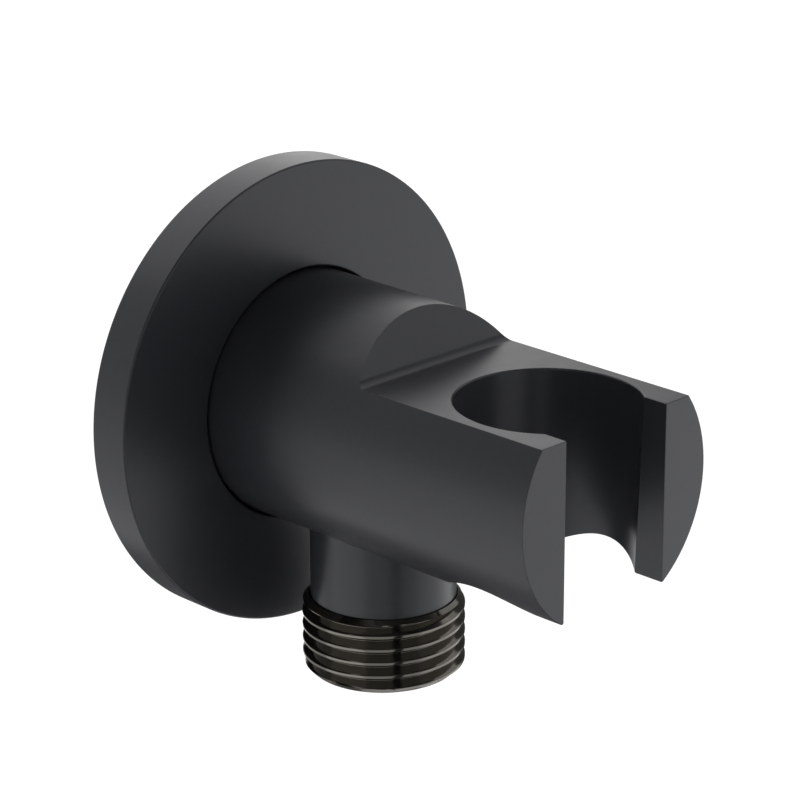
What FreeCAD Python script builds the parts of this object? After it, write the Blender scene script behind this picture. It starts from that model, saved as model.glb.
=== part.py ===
import FreeCAD, Part
import math
import os
import re

import Sketcher
from FreeCAD import Placement, Rotation, Vector

# Wall outlet elbow with a hand shower cradle.
# The wall is the plane Y = 0 and the object stands out of it towards -Y. The origin lies on the body's axis,
# +Z is up and the hose outlet points down.

# Driving sizes in millimetres, angles in degrees. A setback or reach is measured from the wall, a drop is
# measured down from the body's axis.
SIZES = {
    # rosette: a cover disc turned as a shell, with a hub round the body
    "rosette_radius": 30.47,
    "rosette_thickness": 5.9,
    "rosette_face": 2.2,
    "rosette_rim": 2.0,
    "rosette_gap": 0.35,
    "rosette_hub_wall": 3.6,
    "rosette_hub_recess": 1.2,
    "rosette_edge": 0.25,
    "rosette_ring_section": 1.6,
    "rosette_ring_setback": 2.6,
    "rosette_seal_width": 2.6,
    # holder body: outside
    "body_radius": 16.3,
    "body_front_radius": 16.15,
    "body_back_setback": 1.0,
    "reach": 59.2,
    "shelf_height": 9.64,
    "step_setback": 29.3,
    "step_slant": 24.0,
    "step_fillet": 1.5,
    "cradle_setback": 48.35,
    "cradle_radius": 11.43,
    "cradle_taper": 0.54,
    "cradle_lean": 1.27,
    "slot_width": 17.44,
    "edge_round": 0.25,
    "outlet_setback": 20.18,
    "collar_radius": 9.38,
    "collar_drop": 23.47,
    # holder body: water passages
    "chamber_radius": 7.2,
    "chamber_reach": 26.8,
    "chamber_point": 118.0,
    "passage_radius": 5.2,
    # half-inch pipe thread, the same on both nipples
    "pipe_thread_radius": 10.4775,
    "thread_pitch": 1.814,
    "thread_depth": 1.162,
    "thread_crest": 0.4,
    "thread_flank": 27.5,
    "thread_chamfer": 0.9,
    # wall nipple: thread, hexagon flange and spigot
    "wall_thread_length": 15.0,
    "relief_width": 1.6,
    "relief_depth": 1.4,
    "flange_flats": 24.0,
    "flange_thickness": 3.2,
    "flange_room": 0.35,
    "spigot_radius": 9.5,
    "spigot_reach": 17.2,
    "spigot_chamfer": 0.6,
    "spigot_fit": 0.05,
    "spigot_end_room": 0.7,
    "waterway_radius": 5.6,
    "key_flats": 12.0,
    "key_depth": 7.0,
    "spigot_ring_section": 1.6,
    "ring_groove_room": 0.6,
    "rear_ring_setback": 12.4,
    "front_ring_setback": 15.4,
    # locking screw, from below into the spigot's groove
    "screw_setback": 8.35,
    "screw_radius": 2.0,
    "screw_length": 6.6,
    "screw_thread_fit": 0.03,
    "screw_point_radius": 1.2,
    "screw_key_flats": 2.0,
    "screw_key_depth": 2.2,
    "lock_groove_width": 4.4,
    "lock_groove_depth": 1.3,
    # hose nipple, screwed into the collar
    "outlet_length": 10.0,
    "outlet_thread_lead": 0.66,
    "shoulder_radius": 9.55,
    "nipple_spigot_radius": 8.0,
    "nipple_spigot_length": 8.4,
    "nipple_thread_fit": 0.03,
    "nipple_seal_thickness": 1.2,
    "nipple_edge": 0.35,
    # non-return cartridge in the hose nipple
    "cartridge_radius": 6.3,
    "cartridge_fit": 0.08,
    "cartridge_top_drop": 18.0,
    "cartridge_length": 14.6,
    "cartridge_bore": 4.9,
    "seat_thickness": 2.4,
    "seat_hole_radius": 3.0,
    "seat_funnel": 0.9,
    "cartridge_ring_section": 1.0,
    "poppet_radius": 3.9,
    "poppet_thickness": 1.3,
    "poppet_boss_radius": 2.5,
    "poppet_gap": 0.05,
    "poppet_seal_thickness": 0.9,
    "stem_radius": 1.0,
    "stem_short": 0.55,
    "stem_fit": 0.05,
    "hub_radius": 2.9,
    "hub_recess": 1.2,
    "hub_height": 2.0,
    "arm_width": 1.1,
    "arm_count": 3,
    "spring_coil_radius": 2.35,
    "spring_wire_radius": 0.22,
    "spring_turns": 4.5,
    "spring_seat_gap": 0.03,
}

# Sizes that follow from the driving ones.
LINKS = {
    "thread_mouth": "(thread_pitch - thread_crest) / 2",
    "thread_root": "thread_mouth - thread_depth * tan(thread_flank * 1 deg)",
    "rosette_hole": "body_radius + rosette_gap",
    "rosette_back": "rosette_thickness - rosette_face",
    "rosette_ring_groove": "body_radius + rosette_ring_section",
    "socket_radius": "spigot_radius + spigot_fit",
    "socket_reach": "spigot_reach + spigot_end_room",
    "flange_corner": "flange_flats / 2 / cos(30 deg)",
    "flange_pocket_radius": "flange_corner + flange_room",
    "flange_pocket_reach": "flange_thickness + flange_room",
    "spigot_groove_radius": "socket_radius - spigot_ring_section",
    "spigot_groove_width": "spigot_ring_section + ring_groove_room",
    "lock_groove_radius": "spigot_radius - lock_groove_depth",
    "nipple_hole_radius": "nipple_spigot_radius + nipple_thread_fit",
    "nipple_top_drop": "collar_drop - nipple_spigot_length",
    "nipple_seat_drop": "nipple_top_drop - nipple_seal_thickness",
    "outlet_drop": "collar_drop + outlet_length",
    "cartridge_pocket_radius": "cartridge_radius + cartridge_fit",
    "cartridge_end_drop": "cartridge_top_drop + cartridge_length",
    "seat_drop": "cartridge_top_drop + seat_thickness",
    "cartridge_ring_groove": "cartridge_pocket_radius - cartridge_ring_section",
    "cartridge_ring_drop": "seat_drop + cartridge_ring_section * 0.6",
    "poppet_top_drop": "seat_drop + poppet_gap",
    "poppet_face_drop": "poppet_top_drop + poppet_seal_thickness",
    "poppet_back_drop": "poppet_face_drop + poppet_thickness",
    "stem_hole_radius": "stem_radius + stem_fit",
    "hub_bottom_drop": "cartridge_end_drop - hub_recess",
    "hub_top_drop": "hub_bottom_drop - hub_height",
    "stem_end_drop": "hub_bottom_drop - stem_short",
    "spring_top_drop": "poppet_back_drop + spring_seat_gap + spring_wire_radius",
    "spring_height": "hub_top_drop - spring_seat_gap - spring_wire_radius - spring_top_drop",
}

HEXAGON = 6
WHOLE_TURN = 360
# how far a cutting shape runs past the face that it opens
OVERRUN = 2
# faces that meet at less than this angle, in degrees, count as one smooth face
SLIGHT_ANGLE = 15

doc = FreeCAD.newDocument("WallOutletElbow")
sheet = doc.addObject("Spreadsheet::Sheet", "Sizes")
for row, (name, value) in enumerate(SIZES.items(), start=1):
    sheet.set(f"A{row}", name)
    sheet.set(f"B{row}", str(value))
    sheet.setAlias(f"B{row}", name)
doc.recompute()


def bind(text):
    """The expression with each size's name pointed at its cell or its link."""
    def point(found):
        word = found.group()
        if word in SIZES:
            return "Sizes." + word
        return "Links." + word if word in LINKS else word
    return re.sub(r"[a-z_]+", point, text)


links = doc.addObject("App::VarSet", "Links")
for name, text in LINKS.items():
    links.addProperty("App::PropertyFloat", name)
    links.setExpression(name, bind(text))
doc.recompute()


def size(name):
    return getattr(links, name) if name in LINKS else float(sheet.get(name))


def new_body(name, setback=None):
    """A body named after its piece, moved out from the wall when a setback is given."""
    body = doc.addObject("PartDesign::Body", name)
    body.Label = name
    if setback:
        body.setExpression("Placement.Base.y", bind(f"-({setback})"))
    return body


def new_sketch(body, role, name, offset=None):
    """A sketch on one of the body's origin planes, lifted along the plane's normal by an offset."""
    sketch = body.newObject("Sketcher::SketchObject", name)
    plane = next(feature for feature in body.Origin.OriginFeatures if feature.Role == role)
    sketch.AttachmentSupport = [(plane, "")]
    sketch.MapMode = "FlatFace"
    if offset:
        sketch.setExpression("AttachmentOffset.Base.z", bind(offset))
    return sketch


def drive(sketch, kind, *where, size_text):
    """A constraint whose value is an expression."""
    index = sketch.addConstraint(Sketcher.Constraint(kind, *where, 1.0))
    sketch.setExpression(f"Constraints[{index}]", bind(size_text))


def add_outline(sketch, corners):
    """A closed outline of straight edges, each corner placed by two expressions."""
    count = len(corners)
    spread = [Vector(math.cos(math.tau * k / count), math.sin(math.tau * k / count), 0) for k in range(count)]
    lines = [sketch.addGeometry(Part.LineSegment(spread[k], spread[(k + 1) % count])) for k in range(count)]
    for k, (across, up) in enumerate(corners):
        sketch.addConstraint(Sketcher.Constraint("Coincident", lines[k], 2, lines[(k + 1) % count], 1))
        drive(sketch, "DistanceX", lines[k], 1, size_text=across)
        drive(sketch, "DistanceY", lines[k], 1, size_text=up)
    return lines


def add_circle(sketch, across, up, radius):
    """A circle placed and sized by expressions."""
    circle = sketch.addGeometry(Part.Circle(Vector(1, 1, 0), Vector(0, 0, 1), 1))
    drive(sketch, "DistanceX", circle, 3, size_text=across)
    drive(sketch, "DistanceY", circle, 3, size_text=up)
    drive(sketch, "Radius", circle, size_text=radius)


def add_hexagon(sketch, corner, offset_up="0"):
    """A regular hexagon with two corners on the sketch's horizontal axis."""
    angles = [f"{k * WHOLE_TURN / HEXAGON} deg" for k in range(HEXAGON)]
    add_outline(sketch, [(f"{corner} * cos({angle})", f"{corner} * sin({angle}) + {offset_up}") for angle in angles])


def turn(body, name, role, corners, cut=False):
    """A turned form: an outline spun about the sketch's vertical axis, added to the body or cut from it."""
    sketch = new_sketch(body, role, name + "_outline")
    add_outline(sketch, corners)
    feature = body.newObject("PartDesign::Groove" if cut else "PartDesign::Revolution", name)
    feature.Profile = sketch
    feature.ReferenceAxis = (sketch, ["V_Axis"])
    feature.Angle = WHOLE_TURN
    doc.recompute()
    return feature


def press(body, name, sketch, length=None, cut=False, reverse=False, both=False):
    """A pad, or a pocket when it cuts, of a given length or through everything."""
    feature = body.newObject("PartDesign::Pocket" if cut else "PartDesign::Pad", name)
    feature.Profile = sketch
    if length:
        feature.setExpression("Length", bind(length))
    else:
        feature.Type = "ThroughAll"
    feature.Reversed = reverse
    if both:
        feature.SideType = "Symmetric"
    doc.recompute()
    return feature


def round_edges(body, name, picked, radius, kind="PartDesign::Fillet"):
    """Rounds or chamfers the edges that the test picks on the body's last feature."""
    base = body.Tip
    names = [f"Edge{k}" for k, edge in enumerate(base.Shape.Edges, start=1) if picked(edge)]
    feature = body.newObject(kind, name)
    feature.Base = (base, names)
    feature.setExpression("Radius" if kind.endswith("Fillet") else "Size", bind(radius))
    doc.recompute()
    return feature


def cut_thread(body, name, role, first, run, downward=False):
    """Thread grooves, one to a pitch, from a first place along the sketch's vertical axis over a run."""
    groove = turn(body, name + "_groove", role, [
        ("pipe_thread_radius", f"{first} - thread_mouth"),
        ("pipe_thread_radius - thread_depth", f"{first} - thread_root"),
        ("pipe_thread_radius - thread_depth", f"{first} + thread_root"),
        ("pipe_thread_radius", f"{first} + thread_mouth"),
        (f"pipe_thread_radius + {OVERRUN}", f"{first} + thread_mouth"),
        (f"pipe_thread_radius + {OVERRUN}", f"{first} - thread_mouth"),
    ], cut=True)
    grooves = body.newObject("PartDesign::LinearPattern", name)
    grooves.Originals = [groove]
    grooves.Direction = (groove.Profile[0], ["V_Axis"])
    grooves.Reversed = downward
    grooves.Mode = "Spacing"
    grooves.setExpression("Offset", bind("thread_pitch"))
    grooves.setExpression("Occurrences", bind(f"floor(({run}) / thread_pitch) + 1"))
    body.Tip = grooves
    doc.recompute()


def ring(name, centre_radius, section, along, setback=None, upright=False):
    """A rubber ring about the body's axis, or about the outlet's when it stands upright."""
    body = new_body(name, setback)
    role = "XZ_Plane" if upright else "XY_Plane"
    sketch = new_sketch(body, role, name + "_section")
    add_circle(sketch, centre_radius, along, f"{section} / 2")
    feature = body.newObject("PartDesign::Revolution", name + "_turn")
    feature.Profile = sketch
    feature.ReferenceAxis = (sketch, ["V_Axis"])
    feature.Angle = WHOLE_TURN
    doc.recompute()
    return body


def is_sharp(shape, edge):
    """True where the two faces beside an edge meet at more than a slight angle."""
    middle = edge.valueAt((edge.FirstParameter + edge.LastParameter) / 2)
    normals = [face.normalAt(*face.Surface.parameter(middle)) for face in shape.ancestorsOfType(edge, Part.Face)]
    return len(normals) == 2 and normals[0].getAngle(normals[1]) > math.radians(SLIGHT_ANGLE)


def is_circle(edge, radius):
    return isinstance(edge.Curve, Part.Circle) and math.isclose(edge.Curve.Radius, radius, abs_tol=1e-4)


# rosette
rosette = new_body("rosette")
turn(rosette, "rosette_shell", "XY_Plane", [
    ("rosette_radius", "0"),
    ("rosette_radius", "-rosette_thickness"),
    ("rosette_hole", "-rosette_thickness"),
    ("rosette_hole", "-rosette_hub_recess"),
    ("rosette_hole + rosette_hub_wall", "-rosette_hub_recess"),
    ("rosette_hole + rosette_hub_wall", "-rosette_back"),
    ("rosette_radius - rosette_rim", "-rosette_back"),
    ("rosette_radius - rosette_rim", "0"),
])
turn(rosette, "rosette_ring_groove_cut", "XY_Plane", [
    ("rosette_hole - rosette_gap", "-rosette_ring_setback + (rosette_ring_section + ring_groove_room) / 2"),
    ("rosette_ring_groove", "-rosette_ring_setback + (rosette_ring_section + ring_groove_room) / 2"),
    ("rosette_ring_groove", "-rosette_ring_setback - (rosette_ring_section + ring_groove_room) / 2"),
    ("rosette_hole - rosette_gap", "-rosette_ring_setback - (rosette_ring_section + ring_groove_room) / 2"),
], cut=True)
round_edges(
    rosette, "rosette_edge_round",
    lambda edge: is_circle(edge, size("rosette_radius")) and edge.CenterOfMass.y < -size("rosette_back"),
    "rosette_edge")

# rubber ring in the rosette's hub, and foam ring between the rosette and the wall
ring("rosette_o_ring", "body_radius + rosette_ring_section / 2", "rosette_ring_section", "-rosette_ring_setback")
rosette_seal = new_body("rosette_seal")
turn(rosette_seal, "seal_ring", "XY_Plane", [
    ("rosette_radius - rosette_rim", "0"),
    ("rosette_radius - rosette_rim", "-rosette_back"),
    ("rosette_radius - rosette_rim - rosette_seal_width", "-rosette_back"),
    ("rosette_radius - rosette_rim - rosette_seal_width", "0"),
])

# wall nipple: thread for the wall, hexagon flange against the wall, spigot for the body. A thread's turns are
# drawn as grooves side by side, each with the pitch, depth, flanks and crest of the real one.
wall_nipple = new_body("wall_nipple")
turn(wall_nipple, "nipple_turning", "XY_Plane", [
    ("waterway_radius", "wall_thread_length"),
    ("waterway_radius", "-spigot_reach"),
    ("spigot_radius - spigot_chamfer", "-spigot_reach"),
    ("spigot_radius", "-spigot_reach + spigot_chamfer"),
    ("spigot_radius", "-flange_thickness / 2"),
    ("pipe_thread_radius - relief_depth", "-flange_thickness / 2"),
    ("pipe_thread_radius - relief_depth", "relief_width"),
    ("pipe_thread_radius", "relief_width + relief_depth"),
    ("pipe_thread_radius", "wall_thread_length - thread_chamfer"),
    ("pipe_thread_radius - thread_chamfer", "wall_thread_length"),
])
cut_thread(wall_nipple, "wall_thread", "XY_Plane",
           "relief_width + thread_pitch",
           "wall_thread_length - thread_chamfer - thread_mouth - relief_width - thread_pitch")
flange = new_sketch(wall_nipple, "XZ_Plane", "flange_outline")
add_hexagon(flange, "flange_corner")
add_circle(flange, "0", "0", "waterway_radius")
press(wall_nipple, "flange_pad", flange, "flange_thickness")
for place in ("rear_ring_setback", "front_ring_setback"):
    turn(wall_nipple, place.replace("setback", "groove"), "XY_Plane", [
        ("spigot_groove_radius", f"-{place} + spigot_groove_width / 2"),
        ("spigot_radius + spigot_fit", f"-{place} + spigot_groove_width / 2"),
        ("spigot_radius + spigot_fit", f"-{place} - spigot_groove_width / 2"),
        ("spigot_groove_radius", f"-{place} - spigot_groove_width / 2"),
    ], cut=True)
turn(wall_nipple, "lock_groove", "XY_Plane", [
    ("lock_groove_radius", "-screw_setback + lock_groove_width / 2"),
    ("spigot_radius + spigot_fit", "-screw_setback + lock_groove_width / 2"),
    ("spigot_radius + spigot_fit", "-screw_setback - lock_groove_width / 2"),
    ("lock_groove_radius", "-screw_setback - lock_groove_width / 2"),
], cut=True)
key = new_sketch(wall_nipple, "XZ_Plane", "key_outline", "spigot_reach")
add_hexagon(key, "key_flats / 2 / cos(30 deg)")
press(wall_nipple, "key_socket", key, "key_depth", cut=True)

for name, place in (("spigot_o_ring_rear", "rear_ring_setback"), ("spigot_o_ring_front", "front_ring_setback")):
    ring(name, "socket_radius - spigot_ring_section / 2", "spigot_ring_section", f"-{place}")

# holder body: the outside, turned with a slight draft towards the front
holder = new_body("holder_body")
turn(holder, "body_turning", "XY_Plane", [
    ("0", "-body_back_setback"),
    ("body_radius", "-body_back_setback"),
    ("body_radius", "-rosette_thickness"),
    ("body_front_radius", "-reach"),
    ("0", "-reach"),
])
collar = new_sketch(holder, "XY_Plane", "collar_outline")
add_circle(collar, "0", "-outlet_setback", "collar_radius")
press(holder, "collar_pad", collar, "collar_drop", reverse=True)

# the shelf, cut down to the step's slanted half-moon face
shelf = new_sketch(holder, "YZ_Plane", "shelf_outline")
top = "(body_radius + edge_round + shelf_height)"
add_outline(shelf, [
    ("-step_setback", "shelf_height"),
    (f"-step_setback + ({top} - shelf_height) * tan(step_slant * 1 deg)", top),
    ("-reach - shelf_height", top),
    ("-reach - shelf_height", "shelf_height"),
])
press(holder, "shelf_cut", shelf, cut=True, both=True)
round_edges(
    holder, "step_foot",
    lambda edge: isinstance(edge.Curve, Part.Line)
    and abs(edge.CenterOfMass.y + size("step_setback")) < 1e-3
    and abs(edge.CenterOfMass.z - size("shelf_height")) < 1e-3,
    "step_fillet")

# the cradle: a leaning, tapered bore, open to the front through a slot
cradle = holder.newObject("PartDesign::SubtractiveCone", "cradle_bore")
cradle.AttachmentSupport = [(next(f for f in holder.Origin.OriginFeatures if f.Role == "XY_Plane"), "")]
cradle.MapMode = "FlatFace"
cradle.AttachmentOffset = Placement(Vector(0, 0, 0), Rotation(Vector(1, 0, 0), 1))
below = "(body_radius * 2 + shelf_height)"
cradle.setExpression("AttachmentOffset.Rotation.Angle", bind("cradle_lean"))
cradle.setExpression("AttachmentOffset.Base.y", bind(f"-cradle_setback + {below} * sin(cradle_lean * 1 deg)"))
cradle.setExpression("AttachmentOffset.Base.z", bind(f"shelf_height - {below} * cos(cradle_lean * 1 deg)"))
cradle.setExpression("Height", bind(f"{below} + shelf_height"))
cradle.setExpression("Radius1", bind(f"cradle_radius - {below} * tan(cradle_taper * 1 deg)"))
cradle.setExpression("Radius2", bind("cradle_radius + shelf_height * tan(cradle_taper * 1 deg)"))
doc.recompute()
slot = new_sketch(holder, "XY_Plane", "slot_outline")
add_outline(slot, [
    ("-slot_width / 2", "-cradle_setback"),
    ("-slot_width / 2", "-reach - cradle_radius"),
    ("slot_width / 2", "-reach - cradle_radius"),
    ("slot_width / 2", "-cradle_setback"),
])
slot_cut = press(holder, "slot_cut", slot, cut=True, both=True)
round_edges(
    holder, "prong_edges",
    lambda edge: edge.CenterOfMass.y < -size("outlet_setback") - size("passage_radius")
    and is_sharp(slot_cut.Shape, edge),
    "edge_round")

# the socket for the wall nipple, the chamber behind it and the way down to the outlet
turn(holder, "socket_bore", "XY_Plane", [
    ("0", f"{OVERRUN}"),
    ("flange_pocket_radius", f"{OVERRUN}"),
    ("flange_pocket_radius", "-flange_pocket_reach"),
    ("socket_radius", "-flange_pocket_reach"),
    ("socket_radius", "-socket_reach"),
    ("chamber_radius", "-socket_reach"),
    ("chamber_radius", "-chamber_reach"),
    ("0", "-chamber_reach - chamber_radius / tan(chamber_point * 1 deg / 2)"),
], cut=True)
passage = new_sketch(holder, "XY_Plane", "passage_outline", "-collar_drop")
add_circle(passage, "0", "-outlet_setback", "passage_radius")
press(holder, "passage_bore", passage, "collar_drop", cut=True, reverse=True)
seat = new_sketch(holder, "XY_Plane", "nipple_seat_outline", "-collar_drop")
add_circle(seat, "0", "-outlet_setback", "nipple_hole_radius")
press(holder, "nipple_seat_bore", seat, "collar_drop - nipple_seat_drop", cut=True, reverse=True)
screw_way = new_sketch(holder, "XY_Plane", "screw_way_outline", f"-body_radius - {OVERRUN}")
add_circle(screw_way, "0", "-screw_setback", "screw_radius + screw_thread_fit")
press(holder, "screw_way_bore", screw_way, f"body_radius + {OVERRUN} - spigot_groove_radius", cut=True, reverse=True)

# locking screw
screw = new_body("locking_screw", "screw_setback")
turn(screw, "screw_turning", "XZ_Plane", [
    ("0", "-lock_groove_radius"),
    ("screw_point_radius", "-lock_groove_radius"),
    ("screw_radius", "-lock_groove_radius - (screw_radius - screw_point_radius)"),
    ("screw_radius", "-lock_groove_radius - screw_length"),
    ("0", "-lock_groove_radius - screw_length"),
])
screw_key = new_sketch(screw, "XY_Plane", "screw_key_outline", "-lock_groove_radius - screw_length")
add_hexagon(screw_key, "screw_key_flats / 2 / cos(30 deg)")
press(screw, "screw_key_socket", screw_key, "screw_key_depth", cut=True, reverse=True)

# flat seal on top of the hose nipple
nipple_seal = new_body("nipple_seal", "outlet_setback")
turn(nipple_seal, "seal_washer", "XZ_Plane", [
    ("passage_radius", "-nipple_seat_drop"),
    ("nipple_spigot_radius", "-nipple_seat_drop"),
    ("nipple_spigot_radius", "-nipple_top_drop"),
    ("passage_radius", "-nipple_top_drop"),
])

# hose nipple: spigot in the collar, chamfered shoulder, pipe thread for the hose
outlet_nipple = new_body("outlet_nipple", "outlet_setback")
turn(outlet_nipple, "outlet_turning", "XZ_Plane", [
    ("passage_radius", "-nipple_top_drop"),
    ("nipple_spigot_radius", "-nipple_top_drop"),
    ("nipple_spigot_radius", "-collar_drop"),
    ("shoulder_radius", "-collar_drop"),
    ("pipe_thread_radius", "-collar_drop - (pipe_thread_radius - shoulder_radius)"),
    ("pipe_thread_radius", "-outlet_drop + thread_chamfer"),
    ("pipe_thread_radius - thread_chamfer", "-outlet_drop"),
    ("cartridge_pocket_radius + nipple_edge", "-outlet_drop"),
    ("cartridge_pocket_radius", "-outlet_drop + nipple_edge"),
    ("cartridge_pocket_radius", "-cartridge_top_drop"),
    ("passage_radius", "-cartridge_top_drop"),
])
cut_thread(outlet_nipple, "hose_thread", "XZ_Plane", "-collar_drop - outlet_thread_lead",
           "outlet_length - outlet_thread_lead - thread_chamfer - thread_mouth", downward=True)

# non-return cartridge: seat, housing with its spider, ring, poppet with its seal, and spring
valve_seat = new_body("valve_seat", "outlet_setback")
turn(valve_seat, "seat_turning", "XZ_Plane", [
    ("seat_hole_radius + seat_funnel", "-cartridge_top_drop"),
    ("cartridge_radius", "-cartridge_top_drop"),
    ("cartridge_radius", "-seat_drop"),
    ("seat_hole_radius", "-seat_drop"),
    ("seat_hole_radius", "-cartridge_top_drop - seat_funnel"),
])
housing = new_body("valve_housing", "outlet_setback")
turn(housing, "housing_turning", "XZ_Plane", [
    ("cartridge_bore", "-seat_drop"),
    ("cartridge_ring_groove", "-seat_drop"),
    ("cartridge_ring_groove", "-seat_drop - cartridge_ring_section * 1.2"),
    ("cartridge_radius", "-seat_drop - cartridge_ring_section * 1.2"),
    ("cartridge_radius", "-cartridge_end_drop"),
    ("cartridge_bore", "-cartridge_end_drop"),
])
hub = new_sketch(housing, "XY_Plane", "hub_outline", "-hub_bottom_drop")
add_circle(hub, "0", "0", "hub_radius")
add_circle(hub, "0", "0", "stem_hole_radius")
arm = new_sketch(housing, "XY_Plane", "arm_outline", "-hub_bottom_drop")
add_outline(arm, [
    ("(hub_radius + stem_hole_radius) / 2", "-arm_width / 2"),
    ("(cartridge_bore + cartridge_radius) / 2", "-arm_width / 2"),
    ("(cartridge_bore + cartridge_radius) / 2", "arm_width / 2"),
    ("(hub_radius + stem_hole_radius) / 2", "arm_width / 2"),
])
arm_pad = press(housing, "arm_pad", arm, "hub_height")
arms = housing.newObject("PartDesign::PolarPattern", "arms")
arms.Originals = [arm_pad]
arms.Axis = (arm, ["N_Axis"])
arms.Angle = WHOLE_TURN
arms.setExpression("Occurrences", bind("arm_count"))
housing.Tip = arms
doc.recompute()
press(housing, "hub_pad", hub, "hub_height")
ring("valve_o_ring", "cartridge_pocket_radius - cartridge_ring_section / 2", "cartridge_ring_section",
     "-cartridge_ring_drop", "outlet_setback", upright=True)
poppet = new_body("valve_poppet", "outlet_setback")
turn(poppet, "poppet_turning", "XZ_Plane", [
    ("0", "-poppet_top_drop"),
    ("poppet_boss_radius", "-poppet_top_drop"),
    ("poppet_boss_radius", "-poppet_face_drop"),
    ("poppet_radius", "-poppet_face_drop"),
    ("poppet_radius", "-poppet_back_drop"),
    ("stem_radius", "-poppet_back_drop"),
    ("stem_radius", "-stem_end_drop"),
    ("0", "-stem_end_drop"),
])
poppet_seal = new_body("poppet_seal", "outlet_setback")
turn(poppet_seal, "poppet_seal_ring", "XZ_Plane", [
    ("poppet_boss_radius", "-poppet_top_drop"),
    ("poppet_radius", "-poppet_top_drop"),
    ("poppet_radius", "-poppet_face_drop"),
    ("poppet_boss_radius", "-poppet_face_drop"),
])
spring = new_body("valve_spring", "outlet_setback")
wire = new_sketch(spring, "XZ_Plane", "wire_section")
add_circle(wire, "spring_coil_radius", "-spring_top_drop - spring_height", "spring_wire_radius")
coil = spring.newObject("PartDesign::AdditiveHelix", "coil")
coil.Profile = wire
coil.ReferenceAxis = (wire, ["V_Axis"])
coil.Mode = "height-turns-angle"
coil.setExpression("Height", bind("spring_height"))
coil.setExpression("Turns", bind("spring_turns"))
doc.recompute()

pieces = [thing for thing in doc.Objects if thing.TypeId == "PartDesign::Body"]
for thing in doc.Objects:
    if "Invalid" in thing.State or "Error" in thing.State:
        raise RuntimeError(f"{thing.Name} failed: {thing.State}")
for piece in pieces:
    if piece.Shape.isNull() or not piece.Shape.isValid() or len(piece.Shape.Solids) != 1:
        raise RuntimeError(f"{piece.Label} is not one valid solid")

os.makedirs("parts", exist_ok=True)
for piece in pieces:
    piece.Shape.exportStep(f"parts/{piece.Label}.step")
    print(f"{piece.Label}: {piece.Shape.Volume:.1f} mm3")
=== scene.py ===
import math

import bmesh
import bpy
from mathutils import Matrix, Vector


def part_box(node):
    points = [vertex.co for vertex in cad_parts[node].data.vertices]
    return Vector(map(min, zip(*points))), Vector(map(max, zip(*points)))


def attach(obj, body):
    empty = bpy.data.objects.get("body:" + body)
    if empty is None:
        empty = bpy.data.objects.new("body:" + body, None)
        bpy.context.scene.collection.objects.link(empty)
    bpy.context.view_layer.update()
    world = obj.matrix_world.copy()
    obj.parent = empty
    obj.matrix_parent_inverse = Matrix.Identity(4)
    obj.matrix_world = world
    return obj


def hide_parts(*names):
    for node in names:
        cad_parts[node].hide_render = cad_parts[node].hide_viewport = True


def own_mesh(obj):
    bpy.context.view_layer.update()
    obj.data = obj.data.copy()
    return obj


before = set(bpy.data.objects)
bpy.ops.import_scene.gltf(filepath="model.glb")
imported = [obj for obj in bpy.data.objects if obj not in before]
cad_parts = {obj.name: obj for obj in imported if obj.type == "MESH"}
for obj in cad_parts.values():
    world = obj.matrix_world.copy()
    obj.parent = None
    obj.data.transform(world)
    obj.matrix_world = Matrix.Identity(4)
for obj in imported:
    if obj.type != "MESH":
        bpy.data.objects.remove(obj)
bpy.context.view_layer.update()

# Wall outlet elbow with a hand shower cradle, dressed for rendering. The wall is the plane Y = 0, the body
# stands out of it towards -Y and the hose outlet points down. Sizes are in metres.

bl_info = {
    "name": "Wall Outlet Elbow",
    "version": (1, 0, 0),
    "blender": (4, 5, 0),
    "location": "View3D > Sidebar > Elbow",
    "description": "Builds the finished surfaces of a wall outlet elbow round its packed solids",
    "category": "Object",
}

MM = 0.001
UP = Vector((0, 0, 1))
OUTWARD = Vector((0, -1, 0))
SIDEWAYS = Vector((1, 0, 0))
WHOLE_TURN = 2 * math.pi
SIXTH_TURN = WHOLE_TURN / 6

# Steps round the axis of the turned forms, and along the roundings of their outlines.
ROSETTE_STEPS = 256
NIPPLE_STEPS = 144
FLANGE_STEPS = 192
ROUNDING_STEPS = 4
NIPPLE_ROUNDING_STEPS = 3

# Points that lie closer together than this are joined.
RIDGE_WELD = 0.001 * MM
SOLID_WELD = 0.002 * MM

# Faces that meet at more than this stay creased, and large faces lead the fair normals.
TURNED_CREASE = math.radians(28)
SOLID_CREASE = math.radians(35)
SPRING_CREASE = math.radians(70)
LARGE_FACE_WEIGHT = 100

# What decides which surface a corner or a face of the body belongs to.
ON_SURFACE = 0.004 * MM
NEAR_SURFACE = 0.35 * MM
SAME_SIDE = math.radians(48)
NEARLY_PARALLEL = SAME_SIDE / 6

body_low, body_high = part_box("holder_body")
rosette_low, rosette_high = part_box("rosette")
hose_low, hose_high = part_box("outlet_nipple")
wall_low, wall_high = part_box("wall_nipple")
seal_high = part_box("rosette_seal")[1]
outlet_axis = (hose_low + hose_high) / 2


def length(name, description, default):
    """A length in metres that is shown in the sidebar."""
    return bpy.props.FloatProperty(name=name, description=description, default=default, unit="LENGTH",
                                   precision=5)


def colour(name, description, default):
    """A linear colour that is shown in the sidebar."""
    return bpy.props.FloatVectorProperty(name=name, description=description, default=default,
                                         subtype="COLOR", size=4, min=0, max=1)


def share(name, description, default):
    """A plain number between nothing and one that is shown in the sidebar."""
    return bpy.props.FloatProperty(name=name, description=description, default=default, min=0, max=1)


def angle(name, description, degrees):
    """An angle that is shown in the sidebar."""
    return bpy.props.FloatProperty(name=name, description=description, default=math.radians(degrees),
                                   subtype="ANGLE")


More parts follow.
